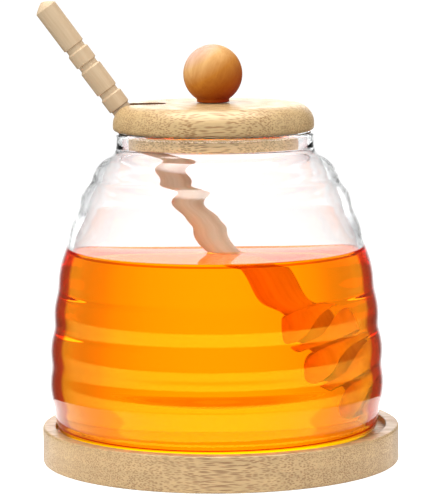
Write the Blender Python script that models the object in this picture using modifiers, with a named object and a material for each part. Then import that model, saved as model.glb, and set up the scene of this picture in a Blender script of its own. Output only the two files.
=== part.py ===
"""Honey pot with a wooden lid, a wooden dipper and a wooden tray.

A ribbed glass jar, part filled with honey, stands in the recess of a round
tray. Its turned lid has a ball knob and a slot that is open at the lid's edge,
and the dipper leans out through that slot. Metres, +Z up. The origin is the
centre of the tray's underside.
"""

import math

import bpy
import numpy as np
from mathutils import Matrix

MM = 0.001
GAP = 0.3 * MM

TRAY_RADIUS = 60.0 * MM
TRAY_HEIGHT = 12.0 * MM
RECESS_RADIUS = 55.6 * MM
RECESS_DEPTH = 2.3 * MM
RECESS_FILLET = 0.5 * MM
TRAY_EDGE_ROUND = 0.8 * MM
RIM_INNER_ROUND = 0.4 * MM
TRAY_FOOT_CHAMFER = 0.5 * MM

JAR_OFFSET = -1.2 * MM
JAR_RIM_HEIGHT = 110.7 * MM
NECK_RADIUS = 33.1 * MM
NECK_FOOT = 105.6 * MM
GLASS_WALL = 2.1 * MM
JAR_FLOOR = 3.0 * MM
FOOT_ROUND = 2.5 * MM
INNER_FOOT_ROUND = 4.0 * MM

# One row for each rib, from the shoulder down: the height and radius of the seam
# above the rib, how far the rib swells past the straight line to the next seam,
# and the skew that moves its fullest point up when it is under 1.
RIBS = (
    (104.2 * MM, 34.3 * MM, 1.80 * MM, 0.70),
    (95.2 * MM, 41.4 * MM, 1.45 * MM, 0.85),
    (84.7 * MM, 45.8 * MM, 0.90 * MM, 0.80),
    (73.4 * MM, 49.6 * MM, 0.95 * MM, 1.00),
    (57.9 * MM, 52.97 * MM, 0.80 * MM, 1.00),
    (45.3 * MM, 54.22 * MM, 0.95 * MM, 1.00),
    (32.2 * MM, 55.32 * MM, 1.00 * MM, 1.00),
    (18.5 * MM, 54.74 * MM, 0.25 * MM, 1.00),
)
RIB_STEPS = 4
FOOT_HEIGHT = 12.5 * MM
FOOT_RADIUS = 53.9 * MM

HONEY_LEVEL = 71.2 * MM

LID_OFFSET = -1.75 * MM
LID_RADIUS = 33.7 * MM
LID_TOP = 120.2 * MM
LID_SHOULDER = 6.4 * MM
LID_EDGE_ROUND = 1.5 * MM
PLUG_RADIUS = 28.3 * MM
PLUG_DEPTH = 5.2 * MM
PLUG_CHAMFER = 0.4 * MM
SLOT_WIDTH = 9.5 * MM
SLOT_END = 15.7 * MM

KNOB_RADIUS = 9.9 * MM
KNOB_CENTRE = 129.8 * MM
KNOB_FOOT_RADIUS = 5.4 * MM

DIPPER_TIP = (-58.5 * MM, 154.0 * MM)
DIPPER_LEAN = math.radians(36.2)
DIPPER_LENGTH = 170.0 * MM
HANDLE_RADIUS = 3.85 * MM
HANDLE_LOWER_RADIUS = 4.6 * MM
TAPER_START = 58.0 * MM
TAPER_END = 100.0 * MM
DOME_HEIGHT = 2.0 * MM
DOME_EDGE_RADIUS = 3.4 * MM
DOME_EDGE_ROUND = 0.5 * MM
GROOVE_PLACES = (19.0 * MM, 26.0 * MM, 37.3 * MM, 44.3 * MM)
GROOVE_WIDTH = 2.2 * MM
GROOVE_DEPTH = 0.6 * MM
GROOVE_SLOPE = 0.4 * MM
HEAD_LENGTH = 40.0 * MM
HEAD_RADIUS = 10.5 * MM
HEAD_END_SHARE = 0.58
HEAD_RINGS = 6
HEAD_GROOVE_WIDTH = 2.4 * MM
HEAD_GROOVE_DEPTH = 3.4 * MM
HEAD_END_ROUND = 1.2 * MM

TRAY_SEGMENTS = 48
JAR_SEGMENTS = 48
LID_SEGMENTS = 48
KNOB_SEGMENTS = 28
DIPPER_SEGMENTS = 18

TRAY_FLOOR = TRAY_HEIGHT - RECESS_DEPTH
JAR_BASE = TRAY_FLOOR + GAP
HONEY_FLOOR = JAR_BASE + JAR_FLOOR
LID_UNDERSIDE = JAR_RIM_HEIGHT + GAP
PLUG_BOTTOM = LID_UNDERSIDE - PLUG_DEPTH


def clear_scene():
    """Remove every object that the file holds."""
    for item in list(bpy.data.objects):
        bpy.data.objects.remove(item, do_unlink=True)


def new_collection(name):
    collection = bpy.data.collections.new(name)
    bpy.context.scene.collection.children.link(collection)
    return collection


def material(name, colour, roughness, metallic=0.0, transmission=0.0, alpha=1.0):
    """A Principled finish with one colour."""
    finish = bpy.data.materials.new(name)
    finish.use_nodes = True
    shader = finish.node_tree.nodes["Principled BSDF"]
    shader.inputs["Base Color"].default_value = (*colour, 1.0)
    shader.inputs["Roughness"].default_value = roughness
    shader.inputs["Metallic"].default_value = metallic
    shader.inputs["Transmission Weight"].default_value = transmission
    shader.inputs["Alpha"].default_value = alpha
    return finish


def arc(centre, radius, start, end, steps):
    """Points (radius, height) on a circle's arc, both ends included, angles in degrees."""
    angles = np.radians(np.linspace(start, end, steps + 1))
    return [(centre[0] + radius * math.cos(a), centre[1] + radius * math.sin(a)) for a in angles]


def parallel_line(points, distance):
    """The line a fixed distance to the inner side of one that runs down the outer side."""
    line = np.array(points)
    runs = np.diff(line, axis=0)
    runs /= np.linalg.norm(runs, axis=1)[:, None]
    normals = np.column_stack((runs[:, 1], -runs[:, 0]))
    before = np.vstack((normals[:1], normals))
    after = np.vstack((normals, normals[-1:]))
    mitre = (before + after) / (1.0 + np.sum(before * after, axis=1))[:, None]
    return line + distance * mitre


def turned(name, outline, segments, finish, collection):
    """A solid of revolution about Z from an outline of (radius, height) points."""
    mesh = bpy.data.meshes.new(name)
    edges = [(i, i + 1) for i in range(len(outline) - 1)]
    mesh.from_pydata([(radius, 0.0, height) for radius, height in outline], edges, [])
    piece = bpy.data.objects.new(name, mesh)
    collection.objects.link(piece)
    mesh.materials.append(finish)
    screw = piece.modifiers.new("turn", "SCREW")
    screw.steps = segments
    screw.render_steps = segments
    screw.use_merge_vertices = True
    screw.merge_threshold = 0.01 * MM
    screw.use_smooth_shade = True
    return piece


def cut(piece, cutter):
    """Take the cutter's shape out of the piece."""
    boolean = piece.modifiers.new("cut", "BOOLEAN")
    boolean.operation = "DIFFERENCE"
    boolean.solver = "EXACT"
    boolean.object = cutter
    cutter.hide_render = True
    cutter.display_type = "WIRE"


def tray_outline():
    """Recess floor from the centre out, the raised rim, the side and the underside."""
    inner_round = arc((RECESS_RADIUS + RIM_INNER_ROUND, TRAY_HEIGHT - RIM_INNER_ROUND),
                      RIM_INNER_ROUND, 180, 90, 2)
    outer_round = arc((TRAY_RADIUS - TRAY_EDGE_ROUND, TRAY_HEIGHT - TRAY_EDGE_ROUND),
                      TRAY_EDGE_ROUND, 90, 0, 3)
    return [
        (0.0, TRAY_FLOOR),
        (RECESS_RADIUS - RECESS_FILLET, TRAY_FLOOR),
        (RECESS_RADIUS, TRAY_FLOOR + RECESS_FILLET),
        *inner_round,
        *outer_round,
        (TRAY_RADIUS, TRAY_FOOT_CHAMFER),
        (TRAY_RADIUS - TRAY_FOOT_CHAMFER, 0.0),
        (0.0, 0.0),
    ]


def rib_points(rib, below):
    """Points down one rib: a straight run between two seams plus a skewed half sine wave."""
    height, radius, swell, skew = rib
    share = np.arange(RIB_STEPS) / RIB_STEPS
    heights = height + (below[0] - height) * share
    radii = radius + (below[1] - radius) * share + swell * np.sin(math.pi * share ** skew)
    return list(zip(radii, heights))


def jar_outer_side():
    """The outside of the glass, from the neck down over the ribs to the base's centre."""
    seams_below = RIBS[1:] + ((FOOT_HEIGHT, FOOT_RADIUS),)
    side = [(NECK_RADIUS, NECK_FOOT), (NECK_RADIUS + 0.4 * MM, NECK_FOOT - 0.7 * MM)]
    for rib, below in zip(RIBS, seams_below):
        side += rib_points(rib, below)
    side += arc((FOOT_RADIUS - FOOT_ROUND, FOOT_HEIGHT), FOOT_ROUND, 0, -90, 3)
    return side + [(0.0, JAR_BASE)]


def jar_inner_side(gap=0.0):
    """The smooth inside of the glass, from the neck down to the floor's centre.

    It runs straight from seam to seam, so that the ribs are thicker glass. A gap
    moves it further in, for what fills the jar.
    """
    seams = [(radius, height) for height, radius, swell, skew in RIBS]
    envelope = [(NECK_RADIUS, JAR_RIM_HEIGHT), (NECK_RADIUS, NECK_FOOT)] + seams
    line = parallel_line(envelope, GLASS_WALL + gap)
    foot_radius = line[-1][0]
    corner = INNER_FOOT_ROUND - gap
    floor = HONEY_FLOOR + gap
    foot = arc((foot_radius - corner, floor + corner), corner, 0, -90, 4)
    return [tuple(point) for point in line[:-1]] + foot + [(0.0, floor)]


def jar_outline():
    """Up the inside of the glass, over the round rim and down the outside."""
    inside = jar_inner_side()[1:]
    lip = GLASS_WALL / 2
    rim = arc((NECK_RADIUS - lip, JAR_RIM_HEIGHT - lip), lip, 180, 0, 4)
    return inside[::-1] + rim + jar_outer_side()


def honey_outline():
    """The top from its centre out, then down inside the glass to the floor's centre."""
    line = jar_inner_side(GAP)
    radii = [radius for radius, height in line][::-1]
    heights = [height for radius, height in line][::-1]
    top_radius = float(np.interp(HONEY_LEVEL, heights[1:], radii[1:]))
    below = [point for point in line if point[1] < HONEY_LEVEL]
    return [(0.0, HONEY_LEVEL), (top_radius, HONEY_LEVEL)] + below


def lid_outline():
    """Flat top, round shoulder, straight side, round lower edge and the plug below."""
    shoulder = arc((LID_RADIUS - LID_SHOULDER, LID_TOP - LID_SHOULDER), LID_SHOULDER, 90, 0, 6)
    lower_edge = arc((LID_RADIUS - LID_EDGE_ROUND, LID_UNDERSIDE + LID_EDGE_ROUND),
                     LID_EDGE_ROUND, 0, -90, 3)
    return [
        (0.0, LID_TOP),
        *shoulder,
        *lower_edge,
        (PLUG_RADIUS, LID_UNDERSIDE),
        (PLUG_RADIUS, PLUG_BOTTOM + PLUG_CHAMFER),
        (PLUG_RADIUS - PLUG_CHAMFER, PLUG_BOTTOM),
        (0.0, PLUG_BOTTOM),
    ]


def knob_outline():
    """A ball that ends in a short straight foot on the lid."""
    foot_angle = -math.degrees(math.acos(KNOB_FOOT_RADIUS / KNOB_RADIUS))
    ball = arc((0.0, KNOB_CENTRE), KNOB_RADIUS, 90, foot_angle, 12)
    foot = LID_TOP + GAP
    return [(0.0, ball[0][1])] + ball[1:] + [(KNOB_FOOT_RADIUS, foot), (0.0, foot)]


def head_radius(share):
    """The barrel that the head's rings fill, from 0 at the handle to 1 at the end."""
    return HEAD_RADIUS * (1.0 - (1.0 - HEAD_END_SHARE) * (2.0 * share - 1.0) ** 2)


def dipper_outline(gap=0.0):
    """Domed tip, grooved handle, taper and ringed head, from the tip at 0 down.

    A gap makes it that much fatter all round, for the hollow that it lies in.
    """
    dome = [(0.0, gap), (DOME_EDGE_RADIUS + gap, gap - DOME_HEIGHT)]
    side = [(HANDLE_RADIUS + gap, -DOME_HEIGHT - DOME_EDGE_ROUND)]
    for place in GROOVE_PLACES:
        half = GROOVE_WIDTH / 2
        floor_radius = HANDLE_RADIUS - GROOVE_DEPTH + gap
        side += [
            (HANDLE_RADIUS + gap, half - place),
            (floor_radius, half - GROOVE_SLOPE - place),
            (floor_radius, GROOVE_SLOPE - half - place),
            (HANDLE_RADIUS + gap, -half - place),
        ]
    side += [(HANDLE_RADIUS + gap, -TAPER_START), (HANDLE_LOWER_RADIUS + gap, -TAPER_END)]

    head_start = DIPPER_LENGTH - HEAD_LENGTH
    pitch = (HEAD_LENGTH + HEAD_GROOVE_WIDTH) / HEAD_RINGS
    side.append((HANDLE_LOWER_RADIUS + gap, gap - head_start))
    for ring in range(HEAD_RINGS):
        top = ring * pitch
        bottom = top + pitch - HEAD_GROOVE_WIDTH
        top_radius = head_radius(top / HEAD_LENGTH)
        bottom_radius = head_radius(bottom / HEAD_LENGTH)
        side.append((top_radius + gap, gap - head_start - top))
        if ring < HEAD_RINGS - 1:
            middle = head_radius((bottom + HEAD_GROOVE_WIDTH / 2) / HEAD_LENGTH)
            core = middle - HEAD_GROOVE_DEPTH + gap
            side += [
                (bottom_radius + gap, -gap - head_start - bottom),
                (core, -gap - head_start - bottom),
                (core, gap - head_start - bottom - HEAD_GROOVE_WIDTH),
            ]
    end_radius = head_radius(1.0)
    side += [
        (end_radius + gap, HEAD_END_ROUND - DIPPER_LENGTH),
        (end_radius - HEAD_END_ROUND + gap, -gap - DIPPER_LENGTH),
        (0.0, -gap - DIPPER_LENGTH),
    ]
    return dome + side


def lean(piece):
    """Put a turned piece's tip in its place and lean it out over the lid's edge."""
    piece.location = (DIPPER_TIP[0], 0.0, DIPPER_TIP[1])
    piece.rotation_euler = (0.0, -DIPPER_LEAN, 0.0)


def slot_cutter(collection):
    """A bar with a round inner end that opens the lid from its edge inwards."""
    reach = LID_RADIUS + 5.0 * MM
    length = reach - SLOT_END
    height = LID_TOP - PLUG_BOTTOM + 6.0 * MM
    middle = (LID_TOP + PLUG_BOTTOM) / 2
    bpy.ops.mesh.primitive_cube_add(size=1.0, location=(LID_OFFSET - SLOT_END - length / 2, 0.0, middle))
    cutter = bpy.context.active_object
    cutter.name = "slot_cutter"
    cutter.data.transform(Matrix.Diagonal((length, SLOT_WIDTH, height, 1.0)))
    for owner in list(cutter.users_collection):
        owner.objects.unlink(cutter)
    collection.objects.link(cutter)
    weights = cutter.data.attributes.new("bevel_weight_edge", "FLOAT", "EDGE")
    for edge in cutter.data.edges:
        ends = [cutter.data.vertices[index].co for index in edge.vertices]
        upright_at_inner_end = all(end.x > 0 for end in ends) and abs(ends[0].z - ends[1].z) > GAP
        weights.data[edge.index].value = 1.0 if upright_at_inner_end else 0.0
    bevel = cutter.modifiers.new("round_end", "BEVEL")
    bevel.limit_method = "WEIGHT"
    bevel.width = 0.49 * SLOT_WIDTH
    bevel.segments = 5
    return cutter


def build():
    clear_scene()
    parts = new_collection("honey_pot")
    cutters = new_collection("cutters")

    bamboo = material("tray_bamboo", (0.72, 0.55, 0.36), 0.55)
    glass = material("clear_glass", (0.95, 0.97, 0.97), 0.03, transmission=1.0, alpha=0.3)
    honey_amber = material("honey", (0.95, 0.42, 0.02), 0.08, transmission=0.6)
    lid_bamboo = material("lid_bamboo", (0.80, 0.60, 0.34), 0.45)
    knob_wood = material("knob_wood", (0.60, 0.30, 0.12), 0.35)
    beech = material("dipper_wood", (0.82, 0.64, 0.44), 0.55)

    pot = bpy.data.objects.new("honey_pot_axis", None)
    parts.objects.link(pot)
    lid_axis = bpy.data.objects.new("lid_axis", None)
    lid_axis.location.x = LID_OFFSET
    lid_axis.parent = pot
    parts.objects.link(lid_axis)

    tray = turned("tray", tray_outline(), TRAY_SEGMENTS, bamboo, parts)
    tray.parent = pot

    jar = turned("jar", jar_outline(), JAR_SEGMENTS, glass, parts)
    jar.location.x = JAR_OFFSET
    jar.parent = pot

    honey = turned("honey", honey_outline(), JAR_SEGMENTS, honey_amber, parts)
    honey.location.x = JAR_OFFSET
    honey.parent = pot

    lid = turned("lid", lid_outline(), LID_SEGMENTS, lid_bamboo, parts)
    lid.parent = lid_axis
    cut(lid, slot_cutter(cutters))

    knob = turned("lid_knob", knob_outline(), KNOB_SEGMENTS, knob_wood, parts)
    knob.parent = lid_axis

    dipper = turned("dipper", dipper_outline(), DIPPER_SEGMENTS, beech, parts)
    lean(dipper)
    dipper.parent = pot

    pocket = turned("dipper_pocket", dipper_outline(GAP), DIPPER_SEGMENTS, beech, cutters)
    lean(pocket)
    cut(honey, pocket)


build()
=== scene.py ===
"""Looks of a glass honey pot with its wooden lid, dipper and tray.

The file is laid out as an add-on: one operator for each piece or group of
pieces, property groups for the sizes and colours, and a panel that lists them.
Every surface is worked out as whole numpy arrays. Metres, +Z up.
"""
import math

import bpy
import numpy as np
from bpy.props import FloatProperty, FloatVectorProperty, PointerProperty
from bpy.types import Operator, Panel, PropertyGroup
from mathutils import Matrix, Vector


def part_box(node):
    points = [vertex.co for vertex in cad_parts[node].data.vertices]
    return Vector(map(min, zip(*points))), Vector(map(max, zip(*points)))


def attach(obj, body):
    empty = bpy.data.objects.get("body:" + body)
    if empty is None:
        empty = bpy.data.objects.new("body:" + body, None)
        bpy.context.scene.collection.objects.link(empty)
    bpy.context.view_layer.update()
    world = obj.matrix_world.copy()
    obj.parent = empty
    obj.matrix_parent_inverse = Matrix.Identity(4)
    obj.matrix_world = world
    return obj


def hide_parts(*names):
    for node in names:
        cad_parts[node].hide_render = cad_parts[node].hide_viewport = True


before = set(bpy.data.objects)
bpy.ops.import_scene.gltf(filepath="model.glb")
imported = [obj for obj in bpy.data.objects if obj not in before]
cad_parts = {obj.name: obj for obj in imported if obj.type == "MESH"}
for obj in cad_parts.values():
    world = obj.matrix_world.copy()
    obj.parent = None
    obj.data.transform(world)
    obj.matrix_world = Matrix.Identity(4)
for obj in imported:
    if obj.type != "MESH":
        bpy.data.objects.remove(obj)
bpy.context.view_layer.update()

bl_info = {
    "name": "Honey Pot",
    "version": (1, 0, 0),
    "blender": (4, 5, 0),
    "location": "3D View > Sidebar > Honey Pot",
    "description": "A ribbed glass honey pot with a wooden lid, dipper and tray",
    "category": "Add Mesh",
}

MM = 0.001
BODY = "root"
BOUNCES = 24

# The floor, and how bright it is by the way a ray came: straight, off the glass,
# through the pot from behind it or ahead of it, or after wandering inside the glass.
FLOOR_RADIUS = 0.12
FLOOR_STRAIGHT = 0.85
FLOOR_MIRRORED = 0.25
FLOOR_BEHIND = 1.0
FLOOR_AHEAD = 4.2
FLOOR_TRAPPED = 0.12
WANDERED_AFTER = (("Transmission Depth", 6.5), ("Glossy Depth", 1.5))

# The surround: two bright cards, the sheen on the honey, and how far the light on wood
# is raised where it came through glass, through honey, or through more than either.
FRONT_CARD = 5.0
OVERHEAD_CARD = 8.0
SURFACE_SHEEN = (1.9, 1.0, 0.98)
AIR_BOOST = (1.70, 1.85, 2.05)
HONEY_BOOST = (4.2, 2.5, 0.5)
DEEP_BOOST = (10.0, 5.0, 1.2)

# Honey and wood, with light and shade painted into some of them: a painted glow at the honey's
# edges and foot and on the tray where it is seen through the honey, a painted dark line just under
# the honey's level, painted light on the lid's plug and painted shade on a band under the lid.
# The foot tint takes blue out of the honey low in the pot.
HONEY_EDGE_PAINTED_GLOW = (0.20, 0.007, 0.0003)
HONEY_RIM_PAINTED_SHADE = (0.62, 0.16, 0.05)
FOOT_TINT = (1.0, 1.0, 0.4)
HONEY_FOOT_PAINTED_GLOW = (0.30, 0.30, 0.0)
TRAY_PAINTED_GLOW = (1.45, 1.1, 0.3)
IN_HONEY_AFTER = 4.5
UNDERSIDE_SHADE = (0.35, 0.5, 0.75)
PLUG_PAINTED_LIGHT = (1.55, 1.55, 1.5)
WOOD_RELIEF = 0.0001
GLASS_RELIEF = 0.0006
BOARD_WIDTH = 19.0 * MM
SLOT_MARGIN = 0.03 * MM

# Places and outer sizes that the solids give.
TRAY_LOW, TRAY_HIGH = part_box("tray")
JAR_LOW, JAR_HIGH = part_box("jar")
HONEY_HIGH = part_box("honey")[1]
LID_LOW, LID_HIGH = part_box("lid")
KNOB_LOW, KNOB_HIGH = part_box("lid_knob")

TRAY_RADIUS = (TRAY_HIGH[1] - TRAY_LOW[1]) / 2
TRAY_HEIGHT = TRAY_HIGH[2]
RECESS_RADIUS = 55.6 * MM
RECESS_FLOOR = TRAY_HEIGHT - 2.3 * MM

JAR_X = (JAR_LOW[0] + JAR_HIGH[0]) / 2
JAR_BASE = JAR_LOW[2]
JAR_RIM = JAR_HIGH[2]
JAR_FLOOR = JAR_BASE + 1.9 * MM
NECK_RADIUS = 33.1 * MM
NECK_FOOT = 105.6 * MM
FOOT_HEIGHT = 12.5 * MM
FOOT_RADIUS = 53.9 * MM
FOOT_ROUND = 2.5 * MM
INNER_FOOT_ROUND = 2.0 * MM
INNER_SOFTNESS = 1.7 * MM
SEAM_LIFT = 0.35 * MM
SEAM_REACH = 4.0 * MM
THICKER_FROM = (74.0 * MM, 86.0 * MM)
THICKER_TO = (97.0 * MM, 106.0 * MM)
BELLY_TOP = 86.0 * MM
SHOULDER_LOW = 94.0 * MM

# One row for each rib, from the shoulder down: the height and radius of the seam
# above it, how far it swells past the straight line to the next seam, and its skew.
RIBS = np.array((
    (104.2, 34.3, 1.80, 0.70),
    (95.2, 41.4, 1.45, 0.85),
    (84.7, 45.8, 0.90, 0.80),
    (73.4, 49.6, 0.95, 1.00),
    (57.9, 52.97, 0.80, 1.00),
    (45.3, 54.22, 0.95, 1.00),
    (32.2, 55.32, 1.00, 1.00),
    (18.5, 54.74, 0.25, 1.00),
)) * (MM, MM, MM, 1.0)

HONEY_LEVEL = HONEY_HIGH[2]

LID_RADIUS = (LID_HIGH[1] - LID_LOW[1]) / 2
LID_X = LID_HIGH[0] - LID_RADIUS
LID_TOP = LID_HIGH[2]
PLUG_BOTTOM = LID_LOW[2]
LID_UNDERSIDE = PLUG_BOTTOM + 5.2 * MM
LID_SHOULDER = 6.4 * MM
LID_EDGE_ROUND = 1.5 * MM
PLUG_RADIUS = 28.3 * MM
SLOT_WIDTH = 9.5 * MM
SLOT_END = 15.7 * MM

KNOB_X = (KNOB_LOW[0] + KNOB_HIGH[0]) / 2
KNOB_RADIUS = (KNOB_HIGH[1] - KNOB_LOW[1]) / 2
KNOB_CENTRE = KNOB_HIGH[2] - KNOB_RADIUS
KNOB_FOOT_RADIUS = 5.4 * MM
# Direction from which light is painted onto the knob's wood.
KNOB_PAINTED_LIGHT_FROM = (-0.50, -0.10, 0.80)

DIPPER_TIP = Vector((-58.5 * MM, 0.0, 154.0 * MM))
DIPPER_LEAN = math.radians(36.2)
DIPPER_LENGTH = 170.0 * MM
HANDLE_RADIUS = 3.85 * MM
HANDLE_LOWER_RADIUS = 4.6 * MM
TAPER_START = 58.0 * MM
TAPER_END = 100.0 * MM
GROOVE_PLACES = (19.0 * MM, 26.0 * MM, 37.3 * MM, 44.3 * MM)
HEAD_LENGTH = 40.0 * MM
HEAD_RADIUS = 10.5 * MM
HEAD_END_SHARE = 0.58
HEAD_RINGS = 6
HEAD_GROOVE_WIDTH = 2.4 * MM
HEAD_GROOVE_DEPTH = 3.4 * MM


def length(name, description, default, low, high):
    """A length that a user may set, in metres."""
    return FloatProperty(name=name, description=description, default=default,
                         min=low, max=high, unit="LENGTH")


def finish_colour(name, description, default):
    """A linear colour that a user may set."""
    return FloatVectorProperty(name=name, description=description, default=default,
                               subtype="COLOR", size=3, min=0.0, max=1.0)


class HoneyPotSizes(PropertyGroup):
    """Sizes that a user would change without leaving the solids' outline."""

    glass_wall: length(
        "Glass wall", "Thickness of the glass at a seam between two ribs",
        2.3 * MM, 1.0 * MM, 4.0 * MM)
    shoulder_wall: length(
        "Shoulder glass", "How much thicker the glass is round the shoulder",
        1.0 * MM, 0.0, 2.0 * MM)
    seam_softness: length(
        "Shoulder seams", "How far the seams between the shoulder's ribs are rounded",
        0.55 * MM, 0.1 * MM, 3.0 * MM)
    belly_softness: length(
        "Belly seams", "How far the seams between the belly's ribs are rounded",
        1.3 * MM, 0.1 * MM, 3.0 * MM)
    wall_overlap: length(
        "Honey in the wall", "How far the honey reaches into the glass, so no air shows",
        0.15 * MM, 0.02 * MM, 0.5 * MM)
    meniscus: length(
        "Meniscus", "How high the honey creeps up the glass and the dipper",
        0.7 * MM, 0.0, 2.0 * MM)
    groove_depth: length(
        "Handle groove", "Depth of the grooves in the dipper's handle",
        0.6 * MM, 0.1 * MM, 1.5 * MM)


class HoneyPotColours(PropertyGroup):
    """Colours of the finishes, as linear values."""

    tray_light: finish_colour("Tray bamboo", "Pale bamboo of the tray", (0.475, 0.32, 0.15))
    tray_dark: finish_colour("Tray fibres", "Fibre bundles in the tray's bamboo", (0.2, 0.1, 0.04))
    lid_light: finish_colour("Lid bamboo", "Pale bamboo of the lid", (0.62, 0.425, 0.2))
    lid_dark: finish_colour("Lid fibres", "Fibre bundles in the lid's bamboo", (0.26, 0.12, 0.032))
    # Painted shade on the slot's walls, where little light reaches.
    slot_painted_shade: finish_colour(
        "Slot walls", "Painted shade on the bamboo inside the lid's slot", (0.16, 0.075, 0.03))
    # The knob's wood colours from palest to darkest: the wood's own tone, with painted light at the
    # upper left and painted shade low on the right.
    knob_palest_painted_light: finish_colour(
        "Knob painted light top", "Palest wood of the knob, at its upper left", (0.66, 0.44, 0.34))
    knob_pale_painted_light: finish_colour("Knob light wood", "Light wood of the knob", (0.64, 0.37, 0.14))
    knob_middle: finish_colour(
        "Knob wood", "Orange-brown wood in the middle of the knob", (0.49, 0.185, 0.022))
    knob_painted_shade: finish_colour(
        "Knob dark wood", "Dark wood on the right of the knob", (0.36, 0.085, 0.004))
    knob_deepest_painted_shade: finish_colour(
        "Knob painted shade low", "Darkest wood, low on the knob", (0.26, 0.018, 0.0005))
    dipper_light: finish_colour("Dipper wood", "Pale wood of the dipper", (0.58, 0.435, 0.275))
    dipper_dark: finish_colour("Dipper grain", "Grain lines of the dipper", (0.46, 0.31, 0.175))
    honey_clear: finish_colour(
        "Honey surface", "Tint of the honey's surface seen square on", (1, 0.99, 0.15))
    # Painted shade: deeper amber and red where the honey is seen towards the pot's edges.
    honey_side_painted_shade: finish_colour(
        "Honey side", "Amber tint of the honey towards the pot's edges", (1, 0.87, 0.12))
    honey_edge_painted_shade: finish_colour(
        "Honey edge", "Deep red tint of the honey at the pot's edges", (0.17, 0.0022, 0.0001))


class HoneyPotStage(PropertyGroup):
    """The camera and the light."""

    camera_distance: length(
        "Camera distance", "From the camera to the pot's middle, level", 950.0 * MM, 0.2, 5.0)
    camera_height: length(
        "Camera height", "The camera's height above the floor", 188.0 * MM, 0.0, 3.0)
    aim_height: length(
        "Aim height", "Height of the point that the camera looks at", 71.55 * MM, 0.0, 1.0)
    aim_side: length(
        "Aim side", "How far right of the tray's middle the camera looks", -0.64 * MM, -0.1, 0.1)
    roll: FloatProperty(
        name="Roll", description="How far the camera is turned about its own axis",
        default=math.radians(-0.45), min=-0.2, max=0.2, unit="ROTATION")
    lens: FloatProperty(
        name="Lens", description="Focal length in millimetres",
        default=207.44, min=20.0, max=600.0)
    key_power: FloatProperty(
        name="Key light", description="Power of the soft light at the upper left",
        default=6.5, min=0.0, max=200.0, unit="POWER")
    sky: FloatProperty(
        name="Surround", description="Brightness of the white surround",
        default=1.08, min=0.0, max=4.0)


def arc(centre, radius, start, end, steps):
    """Points on a circle: centre plus radius times (cosine, sine) of the angle, given in degrees."""
    angles = np.radians(np.linspace(start, end, steps + 1))
    return np.column_stack((centre[0] + radius * np.cos(angles), centre[1] + radius * np.sin(angles)))


def softened(values, spacing, width):
    """A row of values blurred by a bell curve of the given width, with its ends held."""
    reach = max(1, int(round(3 * width / spacing)))
    offsets = np.arange(-reach, reach + 1) * spacing
    bell = np.exp(-0.5 * (offsets / width) ** 2)
    padded = np.pad(values, reach, mode="reflect", reflect_type="odd")
    return np.convolve(padded, bell / bell.sum(), mode="valid")


def dense(points, spacing):
    """The same broken line with points at an even spacing along each run, corners kept."""
    runs = []
    for start, end in zip(points[:-1], points[1:]):
        steps = max(1, int(round(np.linalg.norm(end - start) / spacing)))
        share = np.arange(steps)[:, None] / steps
        runs.append(start + (end - start) * share)
    return np.vstack(runs + [points[-1:]])


def mesh_object(name, vertices, faces, uv=None):
    """A shaded-smooth mesh from an array of vertices and a list of faces, with its place in the mesh."""
    mesh = bpy.data.meshes.new(name)
    mesh.from_pydata(vertices.tolist(), [], faces)
    mesh.shade_smooth()
    piece = bpy.data.objects.new(name, mesh)
    bpy.context.scene.collection.objects.link(piece)
    if uv is not None:
        corner = np.empty(len(mesh.loops), dtype=np.int32)
        mesh.loops.foreach_get("vertex_index", corner)
        layer = mesh.uv_layers.new(name="UVMap")
        layer.uv.foreach_set("vector", uv[corner].astype(np.float32).ravel())
    return piece


def turned_arrays(outline, segments):
    """Vertices, faces and UV of an outline turned about Z.

    A point at angle a and outline place s is (r(s) cos a, r(s) sin a, z(s)). The
    outline starts and ends on the axis, and each end is one pole.
    """
    rings = outline[1:-1]
    angles = np.linspace(0.0, 2.0 * math.pi, segments, endpoint=False)
    ring = np.empty((len(rings), segments, 3))
    ring[..., 0] = rings[:, :1] * np.cos(angles)
    ring[..., 1] = rings[:, :1] * np.sin(angles)
    ring[..., 2] = rings[:, 1:]
    poles = np.array(((0.0, 0.0, outline[0, 1]), (0.0, 0.0, outline[-1, 1])))
    vertices = np.vstack((poles[:1], ring.reshape(-1, 3), poles[1:]))

    index = 1 + np.arange(len(rings) * segments).reshape(len(rings), segments)
    turned_on = np.roll(index, -1, axis=1)
    quads = np.stack((index[:-1], index[1:], turned_on[1:], turned_on[:-1]), axis=-1).reshape(-1, 4)
    first = np.stack((np.zeros(segments, int), index[0], turned_on[0]), axis=-1)
    last = np.stack((np.full(segments, len(vertices) - 1), turned_on[-1], index[-1]), axis=-1)
    faces = first.tolist() + quads.tolist() + last.tolist()

    along = np.concatenate(([0.0], np.cumsum(np.linalg.norm(np.diff(outline, axis=0), axis=1))))
    around = np.broadcast_to(angles / (2.0 * math.pi), (len(rings), segments))
    uv = np.empty((len(vertices), 2))
    uv[0] = (0.5, 0.0)
    uv[-1] = (0.5, along[-1])
    uv[1:-1, 0] = around.ravel()
    uv[1:-1, 1] = np.repeat(along[1:-1], segments)
    return vertices, faces, uv


def turned_piece(name, outline, segments, centre_x=0.0, placed=None):
    """A turned surface as an object, moved along X or placed by a matrix."""
    vertices, faces, uv = turned_arrays(np.asarray(outline), segments)
    if placed is not None:
        turn = np.array(placed.to_3x3())
        vertices = vertices @ turn.T + np.array(placed.translation)
    vertices[:, 0] += centre_x
    return mesh_object(name, vertices, faces, uv)


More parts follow.
